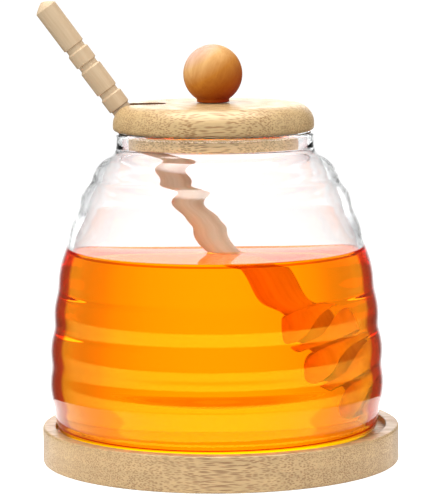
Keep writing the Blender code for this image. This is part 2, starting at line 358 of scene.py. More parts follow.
def tray_outline():
    """Recess floor from the centre out, raised rim with round edges, side and underside."""
    fillet, inner_round, outer_round, foot = 0.5 * MM, 0.4 * MM, 0.8 * MM, 0.5 * MM
    return dense(np.vstack((
        ((0.0, RECESS_FLOOR), (RECESS_RADIUS - fillet, RECESS_FLOOR)),
        arc((RECESS_RADIUS - fillet, RECESS_FLOOR + fillet), fillet, -90, 0, 4)[1:],
        arc((RECESS_RADIUS + inner_round, TRAY_HEIGHT - inner_round), inner_round, 180, 90, 4),
        arc((TRAY_RADIUS - outer_round, TRAY_HEIGHT - outer_round), outer_round, 90, 0, 6),
        arc((TRAY_RADIUS - foot, foot), foot, 0, -90, 4),
        ((0.0, 0.0),),
    )), 2.0 * MM)


def outer_radius(heights):
    """The glass outside at each height.

    Between two seams the radius is the straight line between them plus the
    swell times the sine of pi times the share of the way down, to the rib's skew.
    """
    tops = RIBS[:, 0]
    lows = np.append(tops[1:], FOOT_HEIGHT)
    radii = np.append(RIBS[:, 1], FOOT_RADIUS)
    rib = np.clip(np.searchsorted(-tops, -heights, side="right") - 1, 0, len(tops) - 1)
    share = np.clip((tops[rib] - heights) / (tops[rib] - lows[rib]), 0.0, 1.0)
    straight = radii[rib] + (radii[rib + 1] - radii[rib]) * share
    ribbed = straight + RIBS[rib, 2] * np.sin(math.pi * share ** RIBS[rib, 3])
    neck_share = np.clip((NECK_FOOT - heights) / (NECK_FOOT - tops[0]), 0.0, 1.0)
    return np.where(heights > tops[0], NECK_RADIUS + (radii[0] - NECK_RADIUS) * neck_share, ribbed)


def eased_share(values, low, high):
    """0 up to low, 1 from high, and 3 s^2 - 2 s^3 of the share s between them."""
    share = np.clip((values - low) / (high - low), 0.0, 1.0)
    return share * share * (3.0 - 2.0 * share)


def eased_radius(heights, spacing, shoulder_softness, belly_softness):
    """The ribbed radius blurred a little at the shoulder's seams and more at the belly's.

    The two blurs are mixed by a smooth step of the height between the shoulder and the belly.
    """
    plain = outer_radius(np.maximum(heights, FOOT_HEIGHT))
    share = eased_share(heights, BELLY_TOP, SHOULDER_LOW)
    crisp = softened(plain, spacing, shoulder_softness)
    soft = softened(plain, spacing, belly_softness)
    return soft + (crisp - soft) * share


def jar_outer_side(sizes):
    """The outside from the neck's top down to the base's centre, its seams rounded."""
    spacing = 0.25 * MM
    heights = np.arange(FOOT_HEIGHT, JAR_RIM - 1.2 * MM, spacing)
    radii = eased_radius(heights, spacing, sizes.seam_softness, sizes.belly_softness)
    side = np.column_stack((radii, heights))[::-2]
    foot = arc((side[-1, 0] - FOOT_ROUND, side[-1, 1]), FOOT_ROUND, 0, -90, 6)[1:]
    foot[:, 1] = np.maximum(foot[:, 1], JAR_BASE)
    return np.vstack((side, foot, dense(np.array((foot[-1], (0.0, JAR_BASE))), 3.0 * MM)[1:]))


def parallel_line(line, distance):
    """A line moved inwards by a distance for each point, along the mean normal of its two runs."""
    runs = np.diff(line, axis=0)
    runs /= np.linalg.norm(runs, axis=1)[:, None]
    normals = np.column_stack((runs[:, 1], -runs[:, 0]))
    before = np.vstack((normals[:1], normals))
    after = np.vstack((normals, normals[-1:]))
    shift = (distance / (1.0 + np.sum(before * after, axis=1)))[:, None]
    return line + shift * (before + after)


def jar_inner_side(sizes, grown=0.0):
    """The inside from the rim down to the floor's centre.

    It is the ribbed outside, its seams rounded further, moved in by the wall, which
    is thicker round the shoulder. Grown moves it back out, for what fills the pot.
    """
    spacing = 0.5 * MM
    heights = np.arange(JAR_FLOOR - 2.0 * MM, JAR_RIM + 3.0 * MM, spacing)
    radii = eased_radius(heights, spacing, INNER_SOFTNESS, sizes.belly_softness)
    near_seam = np.exp(-(((heights - RIBS[2, 0]) / SEAM_REACH) ** 2))
    thicker = eased_share(heights, *THICKER_FROM) * (1.0 - eased_share(heights, *THICKER_TO))
    wall = sizes.glass_wall - grown + sizes.shoulder_wall * thicker
    line = parallel_line(np.column_stack((radii, heights + SEAM_LIFT * near_seam))[::-1], wall[::-1])
    corner = INNER_FOOT_ROUND + grown
    floor = JAR_FLOOR - grown
    inside = (line[:, 1] > floor + corner) & (line[:, 1] < JAR_RIM - 0.5 * MM)
    side = line[inside]
    foot = arc((side[-1, 0] - corner, floor + corner), corner, 0, -90, 8)
    return np.vstack((side, foot, dense(np.array((foot[-1], (0.0, floor))), 3.0 * MM)[1:]))


def jar_outline(sizes):
    """Up the inside, over a round rim and down the ribbed outside."""
    inside = jar_inner_side(sizes)[::-1]
    outside = jar_outer_side(sizes)
    lip = (outside[0, 0] - inside[-1, 0]) / 2
    rim = arc((inside[-1, 0] + lip, JAR_RIM - lip), lip, 180, 0, 12)
    inside = inside[inside[:, 1] < JAR_RIM - lip - 0.1 * MM]
    outside = outside[outside[:, 1] < JAR_RIM - lip - 0.1 * MM]
    return np.vstack((inside, rim, outside))


def dipper_matrix():
    """Turns the dipper's own axis, which runs down from its tip, to its lean and place."""
    return Matrix.Translation(DIPPER_TIP) @ Matrix.Rotation(-DIPPER_LEAN, 4, "Y")


def honey_arrays(sizes, segments):
    """The honey: a level top with a meniscus, then the glass inside grown into the wall.

    The top is a polar grid of circles. Its height is the level plus the meniscus
    times exp(-d / 1.2 mm) for the distance d to the glass, and the same for the
    distance to the dipper's outline where it comes through.
    """
    wall = jar_inner_side(sizes, sizes.wall_overlap)
    side = wall[wall[:, 1] < HONEY_LEVEL + sizes.meniscus - 0.3 * MM]
    edge_radius = side[0, 0]
    reach = 1.2 * MM
    near_edge = edge_radius - np.geomspace(0.05 * MM, 8.0 * MM, 18)[::-1]
    rings = np.concatenate(([0.0], np.linspace(0, near_edge[0], 40)[1:-1], near_edge, [edge_radius]))
    rise = sizes.meniscus * np.exp(-(edge_radius - rings) / reach)
    outline = np.vstack((np.column_stack((rings, HONEY_LEVEL + rise)), side[1:]))
    vertices, faces, uv = turned_arrays(outline, segments)
    vertices[:, 0] += JAR_X

    top = slice(0, 1 + (len(rings) - 2) * segments)
    drop = DIPPER_TIP.z - HONEY_LEVEL
    centre_x = DIPPER_TIP.x + drop * math.tan(DIPPER_LEAN)
    long_axis = HANDLE_LOWER_RADIUS / math.cos(DIPPER_LEAN)
    x = (vertices[top, 0] - centre_x) * HANDLE_LOWER_RADIUS / long_axis
    distance = np.maximum(0.0, np.hypot(x, vertices[top, 1]) - HANDLE_LOWER_RADIUS)
    vertices[top, 2] += sizes.meniscus * np.exp(-distance / reach)
    return vertices, faces, uv


def lid_outline():
    """Gently crowned top, round shoulder, side, round lower edge and the plug below."""
    crown = 0.25 * MM
    flat_radius = LID_RADIUS - LID_SHOULDER
    share = np.linspace(0.0, 1.0, 16)[:-1]
    top = np.column_stack((flat_radius * share, LID_TOP - crown * share ** 2))
    shoulder = arc((flat_radius, LID_TOP - crown - LID_SHOULDER), LID_SHOULDER, 88, 0, 16)
    low = arc((LID_RADIUS - LID_EDGE_ROUND, LID_UNDERSIDE + LID_EDGE_ROUND), LID_EDGE_ROUND, 0, -90, 6)
    plug_round = 0.4 * MM
    plug = arc((PLUG_RADIUS - plug_round, PLUG_BOTTOM + plug_round), plug_round, 0, -90, 3)
    line = np.vstack((top, shoulder, low, ((PLUG_RADIUS, LID_UNDERSIDE),), plug, ((0.0, PLUG_BOTTOM),)))
    return dense(line, 1.5 * MM)


def slot_cutter():
    """A bar with a half-round end: the slot's flat outline at two heights, with its two caps."""
    half = SLOT_WIDTH / 2
    turn = np.radians(np.linspace(-90.0, 90.0, 25))
    round_end = np.column_stack((half * np.cos(turn) - SLOT_END - half, half * np.sin(turn)))
    mouth = -LID_RADIUS - 5.0 * MM
    flat = np.vstack((((mouth, -half),), round_end, ((mouth, half),)))
    count = len(flat)
    low = np.column_stack((flat[:, 0] + LID_X, flat[:, 1], np.full(count, PLUG_BOTTOM - 3.0 * MM)))
    high = low + (0.0, 0.0, LID_TOP - PLUG_BOTTOM + 6.0 * MM)
    ring = np.arange(count)
    following = np.roll(ring, -1)
    sides = np.stack((ring, following, following + count, ring + count), axis=-1).tolist()
    faces = sides + [ring[::-1].tolist(), (ring + count).tolist()]
    return mesh_object("slot_cutter", np.vstack((low, high)), faces)


def cut_and_keep(piece, cutter):
    """Take the cutter's shape out of the piece's mesh and remove the cutter."""
    boolean = piece.modifiers.new("slot", "BOOLEAN")
    boolean.operation = "DIFFERENCE"
    boolean.solver = "EXACT"
    boolean.object = cutter
    evaluated = piece.evaluated_get(bpy.context.evaluated_depsgraph_get())
    cut = bpy.data.meshes.new_from_object(evaluated)
    piece.modifiers.clear()
    piece.data = cut
    bpy.data.objects.remove(cutter)
    cut.shade_smooth()
    cut.set_sharp_from_angle(angle=math.radians(35.0))


def knob_outline():
    """A ball whose underside runs into a short straight foot with a soft edge."""
    foot_angle = -math.degrees(math.acos(KNOB_FOOT_RADIUS / KNOB_RADIUS))
    ball = arc((0.0, KNOB_CENTRE), KNOB_RADIUS, 90, foot_angle, 48)
    ball[0, 0] = 0.0
    foot_round = 0.25 * MM
    foot = arc((KNOB_FOOT_RADIUS - foot_round, KNOB_LOW[2] + foot_round), foot_round, 0, -90, 3)
    return np.vstack((ball, foot, ((0.0, KNOB_LOW[2]),)))


def head_radius(share):
    """The barrel that the head's rings fill, from 0 at the handle to 1 at the end."""
    return HEAD_RADIUS * (1.0 - (1.0 - HEAD_END_SHARE) * (2.0 * share - 1.0) ** 2)


def dipper_outline(sizes):
    """Domed tip, grooved handle, taper and ringed head, from the tip at 0 down."""
    dome_height, dome_radius, edge = 2.0 * MM, 3.4 * MM, 0.45 * MM
    share = np.linspace(0.0, 1.0, 9)
    line = [np.column_stack((dome_radius * share, -dome_height * share ** 1.35))]
    line.append(np.array(((HANDLE_RADIUS, -dome_height - edge),)))
    for place in GROOVE_PLACES:
        half, slope, floor = 1.1 * MM, 0.45 * MM, HANDLE_RADIUS - sizes.groove_depth
        line.append(np.array((
            (HANDLE_RADIUS - 0.03 * MM, half + 0.12 * MM - place),
            (HANDLE_RADIUS - 0.15 * MM, half - place),
            (floor, half - slope * 0.5 - place),
            (floor, slope - half - place),
            (HANDLE_RADIUS - 0.15 * MM, -half - place),
            (HANDLE_RADIUS, -half - 0.15 * MM - place),
        )))
    line.append(np.array(((HANDLE_RADIUS, -TAPER_START),)))
    share = np.linspace(0.0, 1.0, 8)[1:]
    eased = eased_share(share, 0.0, 1.0)
    line.append(np.column_stack((HANDLE_RADIUS + (HANDLE_LOWER_RADIUS - HANDLE_RADIUS) * eased,
                                 -TAPER_START - (TAPER_END - TAPER_START) * share)))
    start = DIPPER_LENGTH - HEAD_LENGTH
    pitch = (HEAD_LENGTH + HEAD_GROOVE_WIDTH) / HEAD_RINGS
    line.append(np.array(((HANDLE_LOWER_RADIUS, -start),)))
    for ring in range(HEAD_RINGS):
        top = ring * pitch
        bottom = min(top + pitch - HEAD_GROOVE_WIDTH, HEAD_LENGTH)
        place = np.linspace(top, bottom, 7)
        edge_fall = 0.5 * MM * np.abs(np.linspace(-1.0, 1.0, 7)) ** 4
        line.append(np.column_stack((head_radius(place / HEAD_LENGTH) - edge_fall, -start - place)))
        if ring < HEAD_RINGS - 1:
            middle = head_radius((bottom + HEAD_GROOVE_WIDTH / 2) / HEAD_LENGTH) - HEAD_GROOVE_DEPTH
            groove = ((middle, -start - bottom), (middle, -start - bottom - HEAD_GROOVE_WIDTH))
            line.append(np.array(groove))
    line.append(np.array(((head_radius(1.0) - 1.2 * MM, -DIPPER_LENGTH), (0.0, -DIPPER_LENGTH))))
    return dense(np.vstack(line), 1.2 * MM)


def new_material(name):
    """An empty material with its output and Principled shader joined."""
    material = bpy.data.materials.new(name)
    material.use_nodes = True
    tree = material.node_tree
    return material, tree, tree.nodes["Principled BSDF"]


def rgba(colour):
    """A colour, or the grey that one number stands for, with full alpha."""
    if isinstance(colour, (int, float)):
        colour = (colour,) * 3
    return (*colour, 1.0)


def put(tree, socket, value):
    """Join a socket to another one, or set it to a number, a vector or a colour."""
    if isinstance(value, bpy.types.NodeSocket):
        tree.links.new(value, socket)
    else:
        socket.default_value = rgba(value) if socket.type == "RGBA" else value


def feed(tree, node, **values):
    """Put a value or another socket into each named input."""
    for key, value in values.items():
        put(tree, node.inputs[key.replace("_", " ")], value)


def add(tree, kind, **values):
    """A node of a kind, its settings by attribute and its inputs by name."""
    node = tree.nodes.new(kind)
    for key, value in values.items():
        if hasattr(node, key):
            setattr(node, key, value)
        else:
            feed(tree, node, **{key: value})
    return node


def maths(tree, operation, *values, kind="ShaderNodeMath", **settings):
    """What a math node makes of sockets and plain values, in their order."""
    node = add(tree, kind, operation=operation, **settings)
    for socket, value in zip(node.inputs, values):
        put(tree, socket, value)
    return node.outputs[0]


def ranged(tree, value, low=0.0, high=1.0, to_low=0.0, to_high=1.0, smooth=False):
    """A value carried from one range to another, evenly or by a smooth step, held at its ends."""
    node = add(tree, "ShaderNodeMapRange", interpolation_type="SMOOTHSTEP" if smooth else "LINEAR",
               Value=value, From_Min=low, From_Max=high, To_Min=to_low, To_Max=to_high)
    return node.outputs[0]


def noise(tree, place, **values):
    """A noise from 0 to 1 over a place."""
    return add(tree, "ShaderNodeTexNoise", Vector=place, **values).outputs["Fac"]


def mapped(tree, place, **values):
    """A place moved, turned or scaled."""
    return add(tree, "ShaderNodeMapping", Vector=place, **values).outputs[0]


def object_place(tree):
    """The place on the piece, in its own coordinates."""
    return add(tree, "ShaderNodeTexCoord").outputs["Object"]


def parts(tree, vector):
    """The X, Y and Z of a vector."""
    return add(tree, "ShaderNodeSeparateXYZ", Vector=vector).outputs


def as_share(tree, value):
    """A direction's part, from -1 to 1, as a share from 0 to 1."""
    return maths(tree, "MULTIPLY_ADD", value, 0.5, 0.5)


def ramp(tree, source, *stops):
    """A colour ramp fed by a value, from pairs of a place and a colour or grey."""
    node = tree.nodes.new("ShaderNodeValToRGB")
    elements = node.color_ramp.elements
    while len(elements) < len(stops):
        elements.new(1.0)
    for element, (place, colour) in zip(elements, stops):
        element.position = place
        element.color = rgba(colour)
    put(tree, node.inputs["Fac"], source)
    return node.outputs["Color"]


def mask(tree, source, *edges):
    """0 up to the first edge and 1 from the second, then 1 to the third and 0 from the fourth."""
    return ramp(tree, source, (0.0, 0.0), *zip(edges, (0.0, 1.0, 1.0, 0.0)))


def mixed(tree, factor, first, second, blend="MIX"):
    """A colour mix whose factor and two colours are sockets or plain values."""
    node = add(tree, "ShaderNodeMix", data_type="RGBA", blend_type=blend)
    for number, value in ((0, factor), (6, first), (7, second)):
        put(tree, node.inputs[number], value)
    return node.outputs[2]


def product(tree, first, *others):
    """Colours and masks multiplied together."""
    for other in others:
        first = mixed(tree, 1.0, first, other, "MULTIPLY")
    return first


def wood_group_tree(name, inputs):
    """A node group that gives a wood's colour, height and roughness from its named inputs."""
    tree = bpy.data.node_groups.new(name, "ShaderNodeTree")
    for title, kind, default in inputs:
        socket = tree.interface.new_socket(name=title, in_out="INPUT", socket_type="NodeSocket" + kind)
        if default is not None:
            socket.default_value = default
    for title, kind in (("Color", "Color"), ("Height", "Float"), ("Roughness", "Float")):
        tree.interface.new_socket(name=title, in_out="OUTPUT", socket_type="NodeSocket" + kind)
    return tree, tree.nodes.new("NodeGroupInput").outputs, tree.nodes.new("NodeGroupOutput")


def bamboo_group():
    """Bamboo: fibre bundles as dark dots stretched along X, in strips of slightly different tone.

    The dots are the near cells of a cell pattern squeezed along X, so that they
    read as dots where the wood is cut across and as dashes where it is cut along.
    """
    name = "Bamboo"
    if name in bpy.data.node_groups:
        return bpy.data.node_groups[name]
    tree, start, end = wood_group_tree(name, (
        ("Light", "Color", (0.7, 0.5, 0.3, 1.0)), ("Dark", "Color", (0.3, 0.2, 0.1, 1.0)),
        ("Bundles", "Float", 1.0), ("Fleck", "Float", 0.6), ("Strip", "Float", 12.0 * MM)))
    place = object_place(tree)

    cells = add(tree, "ShaderNodeTexVoronoi", feature="F1", Randomness=0.85,
                Vector=mapped(tree, place, Scale=(0.07, 1.0, 1.0)),
                Scale=maths(tree, "MULTIPLY", start["Bundles"], 1150.0))
    dots = ranged(tree, cells.outputs["Distance"], 0.26, 0.58, 1.0, 0.0, smooth=True)
    density = ranged(tree, noise(tree, place, Scale=55.0, Detail=2.0), 0.35, 0.68, 0.60, 1.0)
    amount = maths(tree, "MULTIPLY", maths(tree, "MULTIPLY", dots, density), start["Fleck"])

    part = parts(tree, place)
    strip_and_board = add(
        tree, "ShaderNodeCombineXYZ",
        X=maths(tree, "FLOOR", maths(tree, "DIVIDE", part["Z"], start["Strip"])),
        Y=maths(tree, "FLOOR", maths(tree, "DIVIDE", part["Y"], BOARD_WIDTH)))
    tone = add(tree, "ShaderNodeTexWhiteNoise", noise_dimensions="3D",
               Vector=strip_and_board.outputs[0])
    tone_factor = ranged(tree, tone.outputs["Value"], to_low=0.90, to_high=1.06)
    streak = noise(tree, mapped(tree, place, Scale=(0.03, 1.0, 1.0)),
                   Scale=700.0, Detail=3.0, Roughness=0.6)
    shade = maths(tree, "MULTIPLY", tone_factor, ranged(tree, streak, 0.3, 0.7, 0.90, 1.05))

    base = add(tree, "ShaderNodeVectorMath", operation="SCALE", Vector=start["Light"], Scale=shade)
    feed(tree, end, Color=mixed(tree, amount, base.outputs[0], start["Dark"]),
         Height=maths(tree, "MULTIPLY", amount, -1.0),
         Roughness=ranged(tree, amount, to_low=0.34, to_high=0.62))
    return tree


def grain_group():
    """Close wood grain: long noise streaks along the group's own Z, with fine pores."""
    name = "Close Grain"
    if name in bpy.data.node_groups:
        return bpy.data.node_groups[name]
    tree, start, end = wood_group_tree(name, (
        ("Vector", "Vector", None), ("Light", "Color", (0.7, 0.5, 0.3, 1.0)),
        ("Dark", "Color", (0.4, 0.25, 0.1, 1.0)), ("Stretch", "Float", 0.06), ("Figure", "Float", 1.0)))
    stretch = add(tree, "ShaderNodeCombineXYZ", X=1.0, Y=1.0, Z=start["Stretch"])
    long_place = maths(tree, "MULTIPLY", start["Vector"], stretch.outputs[0],
                       kind="ShaderNodeVectorMath")
    broad = noise(tree, long_place, Scale=260.0, Detail=4.0, Roughness=0.55, Distortion=0.4)
    fine = noise(tree, long_place, Scale=1500.0, Detail=2.0, Roughness=0.5)
    figure = ranged(tree, maths(tree, "MULTIPLY_ADD", fine, 0.45, broad), 0.50, 0.98, smooth=True)
    amount = maths(tree, "MULTIPLY", figure, start["Figure"], use_clamp=True)
    feed(tree, end, Color=mixed(tree, amount, start["Light"], start["Dark"]), Height=fine,
         Roughness=ranged(tree, fine, to_low=0.42, to_high=0.58))
    return tree


def below(tree, height):
    """1 under a height and 0 above it."""
    return maths(tree, "LESS_THAN", parts(tree, object_place(tree))["Z"], height)


def painted_glow_in_honey(tree, shader, colour):
    """A painted glow on wood for rays that crossed so many surfaces that they came through honey."""
    path = add(tree, "ShaderNodeLightPath").outputs
    deep = maths(tree, "GREATER_THAN", path["Transmission Depth"], IN_HONEY_AFTER)
    feed(tree, shader, Emission_Color=mixed(tree, deep, 0.0, colour), Emission_Strength=1.0)


def slot_shade(tree):
    """1 on the slot's walls, which get painted shade, within its width and outward of its round end, and
    0 elsewhere.
    """
    part = parts(tree, object_place(tree))
    within = maths(tree, "LESS_THAN", maths(tree, "ABSOLUTE", part["Y"]), SLOT_WIDTH / 2 + SLOT_MARGIN)
    outward = maths(tree, "LESS_THAN", part["X"], LID_X - SLOT_END + SLOT_MARGIN)
    return maths(tree, "MULTIPLY", within, outward)


def wood_finish(tree, shader, group, bump, **inputs):
    """Lay a wood group's colour and roughness on the shader, and its height as a bump."""
    wood = add(tree, "ShaderNodeGroup", node_tree=group, **inputs).outputs
    feed(tree, shader, Base_Color=wood["Color"], Roughness=wood["Roughness"])
    if bump > 0.0:
        relief = add(tree, "ShaderNodeBump", Strength=bump, Distance=WOOD_RELIEF, Height=wood["Height"])
        feed(tree, shader, Normal=relief.outputs[0])


def bamboo_material(name, light, dark, fleck, strip, bundles, gloss):
    """Satin bamboo with its bundles slightly sunk."""
    material, tree, shader = new_material(name)
    wood_finish(tree, shader, bamboo_group(), 0.25,
                Light=light, Dark=dark, Fleck=fleck, Strip=strip, Bundles=bundles)
    feed(tree, shader, Specular_IOR_Level=gloss)
    return material, tree, shader


def dipper_material(colours):
    """Plain close-grained wood whose grain runs along the dipper."""
    material, tree, shader = new_material("dipper_wood")
    turned = mapped(tree, object_place(tree), Rotation=(0.0, DIPPER_LEAN, 0.0))
    wood_finish(tree, shader, grain_group(), 0.12, Vector=turned, Light=colours.dipper_light,
                Dark=colours.dipper_dark, Stretch=0.05, Figure=0.8)
    return material


def knob_material(colours):
    """Varnished wood in its own orange-brown, with painted light that makes it pale at the upper
    left and painted shade that makes it dark low on the right.

    The share is the place from the ball's centre along the painted light's direction,
    over the ball's radius, and a fine grain lies over it.
    """
    material, tree, shader = new_material("knob_wood")
    place = object_place(tree)
    along = add(tree, "ShaderNodeVectorMath", operation="DOT_PRODUCT",
                Vector=mapped(tree, place, Location=(-KNOB_X, 0.0, -KNOB_CENTRE)))
    along.inputs[1].default_value = Vector(KNOB_PAINTED_LIGHT_FROM).normalized()
    share = ranged(tree, along.outputs["Value"], -KNOB_RADIUS, KNOB_RADIUS)
    # Painted light and shade: the knob's wood colours laid along the painted light's direction.
    figure = ramp(tree, share, (0.05, colours.knob_deepest_painted_shade), (0.30, colours.knob_painted_shade),
                  (0.55, colours.knob_middle), (0.80, colours.knob_pale_painted_light), (0.97, colours.knob_palest_painted_light))
    turned = mapped(tree, place, Rotation=(math.radians(15.0), math.radians(-20.0), 0.0))
    wood_finish(tree, shader, grain_group(), 0.0, Vector=turned, Light=figure,
                Dark=product(tree, figure, (0.80, 0.68, 0.55)), Stretch=0.18, Figure=0.8)
    feed(tree, shader, Specular_IOR_Level=0.1, Coat_Weight=0.06, Coat_Roughness=0.25)
    return material


def glass_material():
    """Clear glass, faintly wavy, with a cool grey tint where it is seen edge on."""
    material, tree, shader = new_material("clear_glass")
    place = object_place(tree)
    wave = noise(tree, place, Scale=28.0, Detail=1.0)
    bump = add(tree, "ShaderNodeBump", Strength=0.10, Distance=GLASS_RELIEF, Height=wave)
    facing = add(tree, "ShaderNodeLayerWeight", Blend=0.5).outputs["Facing"]
    tint = ramp(tree, facing, (0.0, 1.0), (0.30, 0.99), (0.50, (0.95, 0.965, 0.965)),
                (0.70, (0.87, 0.895, 0.90)), (0.90, (0.77, 0.80, 0.805)), (0.98, (0.55, 0.57, 0.58)))
    over_honey = ranged(tree, parts(tree, place)["Z"],
                        HONEY_LEVEL + 1.0 * MM, HONEY_LEVEL + 4.0 * MM, smooth=True)
    feed(tree, shader, Transmission_Weight=1.0, IOR=1.5, Base_Color=tint,
         Roughness=ranged(tree, wave, to_high=0.012), Normal=bump.outputs[0],
         Specular_Tint=0.03, Coat_Weight=over_honey, Coat_Roughness=0.02)
    return material


def honey_material(colours):
    """Clear amber honey: an absorbing body, with painted shade in bands of amber and a deeper red as it
    is seen more edge on, a painted dark line just under its level, and a painted glow at its edges and
    its foot.
    """
    material, tree, shader = new_material("honey")
    cloud = noise(tree, object_place(tree), Scale=24.0, Detail=2.0)
    facing = add(tree, "ShaderNodeLayerWeight", Blend=0.5).outputs["Facing"]
    clear, amber, deep = colours.honey_clear, colours.honey_side_painted_shade, colours.honey_edge_painted_shade
    # Painted shade: bands of amber and deep red by how edge-on the honey is seen.
    tint = ramp(tree, facing, (0.0, clear), (0.10, clear), (0.15, amber), (0.198, amber),
                (0.204, clear), (0.232, clear), (0.240, deep), (0.36, deep), (0.40, clear))
    # Painted shade: a dark red line in the band just under the honey's level.
    rim = mixed(tree, below(tree, HONEY_LEVEL - 0.8 * MM), below(tree, HONEY_LEVEL - 0.05 * MM), 0.0)
    low_tint = mixed(tree, below(tree, RIBS[-2, 0]), 1.0, FOOT_TINT)
    # Painted glow where the honey is seen towards its edges.
    painted_edge_glow = ramp(tree, facing, (0.0, 0.0), (0.232, 0.0),
                     (0.240, HONEY_EDGE_PAINTED_GLOW), (0.36, HONEY_EDGE_PAINTED_GLOW), (0.40, 0.0))
    # Painted glow on the honey's foot, where it meets the pot's floor.
    painted_foot_glow = mixed(tree, below(tree, JAR_FLOOR + 0.2 * MM), 0.0, HONEY_FOOT_PAINTED_GLOW)
    feed(tree, shader, Transmission_Weight=1.0, IOR=1.49,
         Base_Color=product(tree, mixed(tree, rim, tint, HONEY_RIM_PAINTED_SHADE), low_tint),
         Roughness=ranged(tree, cloud, to_high=0.02), Specular_Tint=(1.0, 0.75, 0.02),
         Emission_Color=mixed(tree, 1.0, painted_edge_glow, painted_foot_glow, "ADD"), Emission_Strength=1.0)
    absorption = add(tree, "ShaderNodeVolumeAbsorption", Density=200.0, Color=(0.9976, 0.9136, 0.0))
    output = next(node for node in tree.nodes if node.type == "OUTPUT_MATERIAL")
    feed(tree, output, Volume=absorption.outputs[0])
    return material


def finish_piece(piece, material, slot, *nodes):
    """Give a piece its material and say which body it rides on and which solids it stands for."""
    piece.data.materials.clear()
    piece.data.materials.append(material)
    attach(piece, BODY)
    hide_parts(*nodes)


class HONEYPOT_OT_tray(Operator):
    """Make the round bamboo tray with its recess"""

    bl_idname = "honeypot.tray"
    bl_label = "Tray"

    def execute(self, context):
        colours = context.scene.honeypot_colours
        tray = turned_piece("bamboo_tray", tray_outline(), 256)
        material, tree, shader = bamboo_material(
            "tray_bamboo", colours.tray_light, colours.tray_dark,
            fleck=0.85, strip=6.2 * MM, bundles=2.0, gloss=0.50)
        # Painted glow on the tray where it is seen through the honey.
        painted_glow_in_honey(tree, shader, TRAY_PAINTED_GLOW)
        finish_piece(tray, material, "tray_bamboo", "tray")
        return {"FINISHED"}


class HONEYPOT_OT_jar(Operator):
    """Make the ribbed glass pot"""

    bl_idname = "honeypot.jar"
    bl_label = "Glass pot"

    def execute(self, context):
        jar = turned_piece("glass_jar", jar_outline(context.scene.honeypot_sizes), 216, JAR_X)
        finish_piece(jar, glass_material(), "clear_glass", "jar")
        return {"FINISHED"}


class HONEYPOT_OT_honey(Operator):
    """Make the honey up to its level"""

    bl_idname = "honeypot.honey"
    bl_label = "Honey"

    def execute(self, context):
        vertices, faces, uv = honey_arrays(context.scene.honeypot_sizes, 240)
        honey = mesh_object("honey_fill", vertices, faces, uv)
        honey.data.set_sharp_from_angle(angle=math.radians(40.0))
        finish_piece(honey, honey_material(context.scene.honeypot_colours), "honey", "honey")
        return {"FINISHED"}


class HONEYPOT_OT_lid(Operator):
    """Make the slotted lid and its ball knob"""

    bl_idname = "honeypot.lid"
    bl_label = "Lid and knob"

    def execute(self, context):
        colours = context.scene.honeypot_colours
        lid = turned_piece("bamboo_lid", lid_outline(), 192, LID_X)
        cut_and_keep(lid, slot_cutter())
        material, tree, shader = bamboo_material(
            "lid_bamboo", colours.lid_light, colours.lid_dark,
            fleck=0.95, strip=30.0 * MM, bundles=1.9, gloss=0.60)
        wood = shader.inputs["Base Color"].links[0].from_socket
        # Painted light brightens the plug below the lid's underside; then painted shade darkens a band
        # round the underside.
        lit_plug = mixed(tree, below(tree, LID_UNDERSIDE - 0.1 * MM), wood, PLUG_PAINTED_LIGHT, "MULTIPLY")
        flat = mixed(tree, below(tree, LID_UNDERSIDE - 1.6 * MM),
                     below(tree, LID_UNDERSIDE + 0.05 * MM), 0.0)
        shaded = mixed(tree, flat, lit_plug, UNDERSIDE_SHADE, "MULTIPLY")
        # The slot's walls get painted shade.
        feed(tree, shader, Base_Color=mixed(tree, slot_shade(tree), shaded, colours.slot_painted_shade))
        finish_piece(lid, material, "lid_bamboo", "lid")

        knob = turned_piece("ball_knob", knob_outline(), 128, KNOB_X)
        finish_piece(knob, knob_material(colours), "knob_wood", "lid_knob")
        return {"FINISHED"}


class HONEYPOT_OT_dipper(Operator):
    """Make the turned wooden dipper"""

    bl_idname = "honeypot.dipper"
    bl_label = "Dipper"

    def execute(self, context):
        colours = context.scene.honeypot_colours
        outline = dipper_outline(context.scene.honeypot_sizes)
        dipper = turned_piece("honey_dipper", outline, 96, placed=dipper_matrix())
        dipper.data.set_sharp_from_angle(angle=math.radians(28.0))
        finish_piece(dipper, dipper_material(colours), "dipper_wood", "dipper")
        return {"FINISHED"}


def area_light(name, place, aim, size, power):
    """A soft square light turned towards a point."""
    data = bpy.data.lights.new(name, "AREA")
    data.shape = "SQUARE"
    data.size = size
    data.energy = power
    light = bpy.data.objects.new(name, data)
    light.location = place
    light.rotation_euler = (Vector(aim) - Vector(place)).to_track_quat("-Z", "Y").to_euler()
    light.visible_glossy = False
    light.visible_transmission = False
    bpy.context.scene.collection.objects.link(light)


